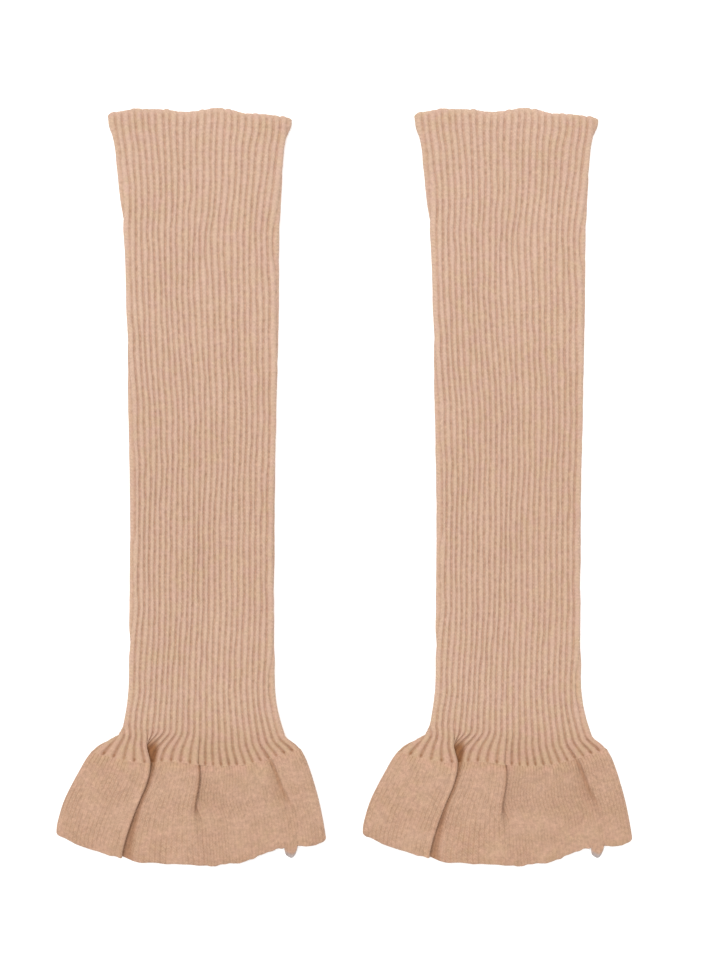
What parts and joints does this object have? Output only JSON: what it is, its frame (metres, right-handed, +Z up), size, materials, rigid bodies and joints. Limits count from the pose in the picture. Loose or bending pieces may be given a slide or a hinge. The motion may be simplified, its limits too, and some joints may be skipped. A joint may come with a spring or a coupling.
{
  "type": "pair of leg warmers",
  "caption": "Footless ribbed knit tubes for the lower legs, laid flat side by side, each with a flared, pleated plain-knit ruffle at its hem.",
  "frame": {"origin": "on the resting plane, midway between the pair's left and right extremes and midway between cuff edge and hem", "axes": "+X across the legs to the right, +Y up the legs towards the cuffs, +Z up from the surface on which the pair lies"},
  "size_m": [0.3042, 0.3999, 0.0112],
  "materials": {
    "rib_knit": "matt, soft cotton and wool rib knit",
    "plain_knit": "matt, fine plain knit with faint stitch columns"
  },
  "bodies": {
    "root": {"left_leg_tube": "rib_knit", "left_ruffle": "plain_knit", "right_leg_tube": "rib_knit", "right_ruffle": "plain_knit"}
  },
  "joints": []
}
